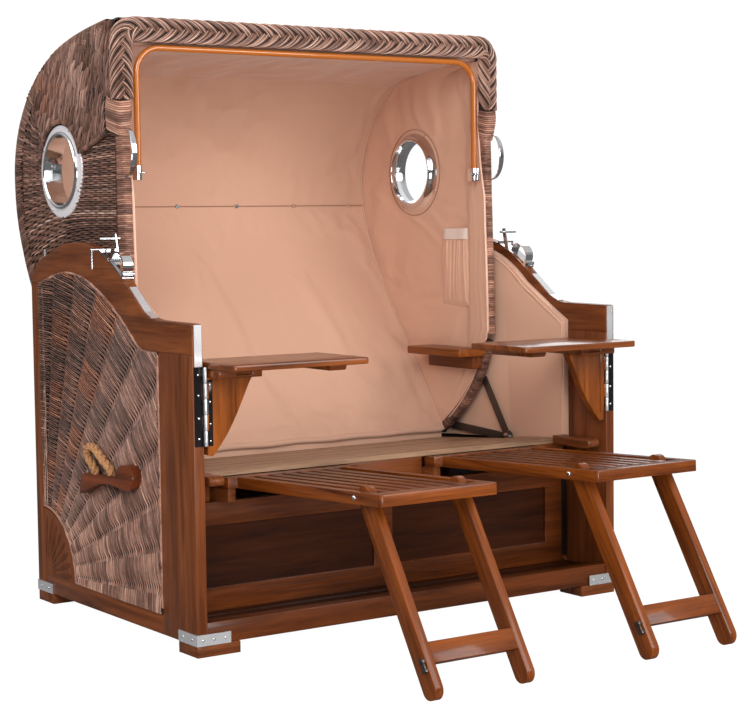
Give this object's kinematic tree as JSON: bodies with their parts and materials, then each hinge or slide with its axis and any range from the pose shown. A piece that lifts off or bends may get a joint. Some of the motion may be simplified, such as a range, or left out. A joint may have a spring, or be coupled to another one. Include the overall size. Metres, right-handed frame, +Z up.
{
  "type": "hooded beach chair",
  "caption": "Hooded beach chair with a slatted wooden seat, woven reclining hood, portholes, swing tables, pull-out footrests and an awning bow.",
  "frame": {"origin": "centre of the bounding box at floor level", "axes": "+Z up, +X to the right seen from the front, +Y to the back of the chair"},
  "size_m": [1.3798, 1.768, 1.545],
  "materials": {
    "mahogany": "gloss varnish",
    "seat_wood": "satin",
    "wicker": "satin, mixed brown strands",
    "lining": "soft padded cloth",
    "chrome": "polished",
    "dark_steel": "satin",
    "bow_tube": "gloss, wood coloured",
    "glass": "clear",
    "rope": "laid manila"
  },
  "bodies": {
    "base": {"left_front_post": "mahogany", "right_front_post": "mahogany", "rear_stiles": "mahogany", "bottom_rails": "mahogany", "left_top_rail": "mahogany", "right_top_rail": "mahogany", "left_wicker_panel": "wicker", "right_wicker_panel": "wicker", "sunburst_corners": "mahogany", "side_lining_boards": "lining", "front_floor_rail": "mahogany", "back_frame": "mahogany", "back_wicker_panel": "wicker", "floor_slats": "mahogany", "kickboard_frame": "mahogany", "kickboard_panel": "mahogany", "seat_slats": "seat_wood", "seat_frame": "mahogany", "footrest_runners": "mahogany", "feet": "mahogany", "corner_plates": "chrome", "edge_strips": "chrome", "rope_boards": "mahogany", "left_rope": "rope", "right_rope": "rope", "table_hinge_leaves": "chrome", "hood_pivot_pins": "chrome"},
    "hood": {"left_hood_side": "wicker", "right_hood_side": "wicker", "hood_back_shell": "wicker", "front_plait": "wicker", "front_wound_edges": "wicker", "hood_lower_edging": "wicker", "back_lining": "lining", "hood_side_linings": "lining", "porthole_outer_rings": "chrome", "porthole_inner_rings": "chrome", "porthole_panes": "glass", "hood_armrests": "mahogany", "armrest_battens": "mahogany", "grab_handles": "chrome", "hinge_arms": "dark_steel", "lining_pockets": "lining", "lining_buttons": "chrome", "bow_brackets": "chrome"},
    "awning_bow": {"awning_bow": "bow_tube"},
    "left_lock": {"left_lock_carriage": "chrome"},
    "left_lock_lever": {"left_lock_handle": "chrome"},
    "left_table": {"left_table_top": "mahogany", "left_table_bracket": "mahogany"},
    "left_footrest": {"left_footrest_frame": "mahogany", "left_footrest_slats": "mahogany"},
    "left_footrest_legs": {"left_footrest_legs": "mahogany"},
    "right_lock": {"right_lock_carriage": "chrome"},
    "right_lock_lever": {"right_lock_handle": "chrome"},
    "right_table": {"right_table_top": "mahogany", "right_table_bracket": "mahogany"},
    "right_footrest": {"right_footrest_frame": "mahogany", "right_footrest_slats": "mahogany"},
    "right_footrest_legs": {"right_footrest_legs": "mahogany"}
  },
  "joints": [
    {"name": "hood_recline", "type": "hinge", "parent": "base", "child": "hood", "pos_m": [0, 0.17, 0.396], "axis": [-1, 0, 0], "range_deg": [0, 25]},
    {"name": "awning_bow_swing", "type": "hinge", "parent": "hood", "child": "awning_bow", "pos_m": [0, 0.246, 1.15], "axis": [1, 0, 0], "range_deg": [0, 80]},
    {"name": "left_lock_slide", "type": "hinge", "parent": "base", "child": "left_lock", "pos_m": [0, 0.393, 0.532], "axis": [-1, 0, 0], "range_deg": [0, 37.3]},
    {"name": "left_lock_lever_hinge", "type": "hinge", "parent": "left_lock", "child": "left_lock_lever", "pos_m": [-0.636, 0.12353, 0.8971], "axis": [1, 0, 0], "range_deg": [0, 60]},
    {"name": "left_table_swing", "type": "hinge", "parent": "base", "child": "left_table", "pos_m": [-0.62, -0.226, 0.593], "axis": [0, 0, -1], "range_deg": [0, 90]},
    {"name": "left_footrest_slide", "type": "slide", "parent": "base", "child": "left_footrest", "axis": [0, 0.9969, -0.0785], "range_m": [0, 0.43]},
    {"name": "left_footrest_legs_fold", "type": "hinge", "parent": "left_footrest", "child": "left_footrest_legs", "pos_m": [-0.31, -0.62106, 0.41108], "axis": [1, 0, 0], "range_deg": [0, 118]},
    {"name": "right_lock_slide", "type": "hinge", "parent": "base", "child": "right_lock", "pos_m": [0, 0.393, 0.532], "axis": [-1, 0, 0], "range_deg": [0, 37.3]},
    {"name": "right_lock_lever_hinge", "type": "hinge", "parent": "right_lock", "child": "right_lock_lever", "pos_m": [0.636, 0.12353, 0.8971], "axis": [1, 0, 0], "range_deg": [0, 60]},
    {"name": "right_table_swing", "type": "hinge", "parent": "base", "child": "right_table", "pos_m": [0.62, -0.226, 0.593], "axis": [0, 0, 1], "range_deg": [0, 90]},
    {"name": "right_footrest_slide", "type": "slide", "parent": "base", "child": "right_footrest", "axis": [0, 0.9969, -0.0785], "range_m": [0, 0.43]},
    {"name": "right_footrest_legs_fold", "type": "hinge", "parent": "right_footrest", "child": "right_footrest_legs", "pos_m": [0.31, -0.62106, 0.41108], "axis": [1, 0, 0], "range_deg": [0, 118]}
  ],
  "couplings": [
    {"joint": "left_lock_slide", "follows": "hood_recline", "ratio": 1.49},
    {"joint": "right_lock_slide", "follows": "hood_recline", "ratio": 1.49}
  ]
}
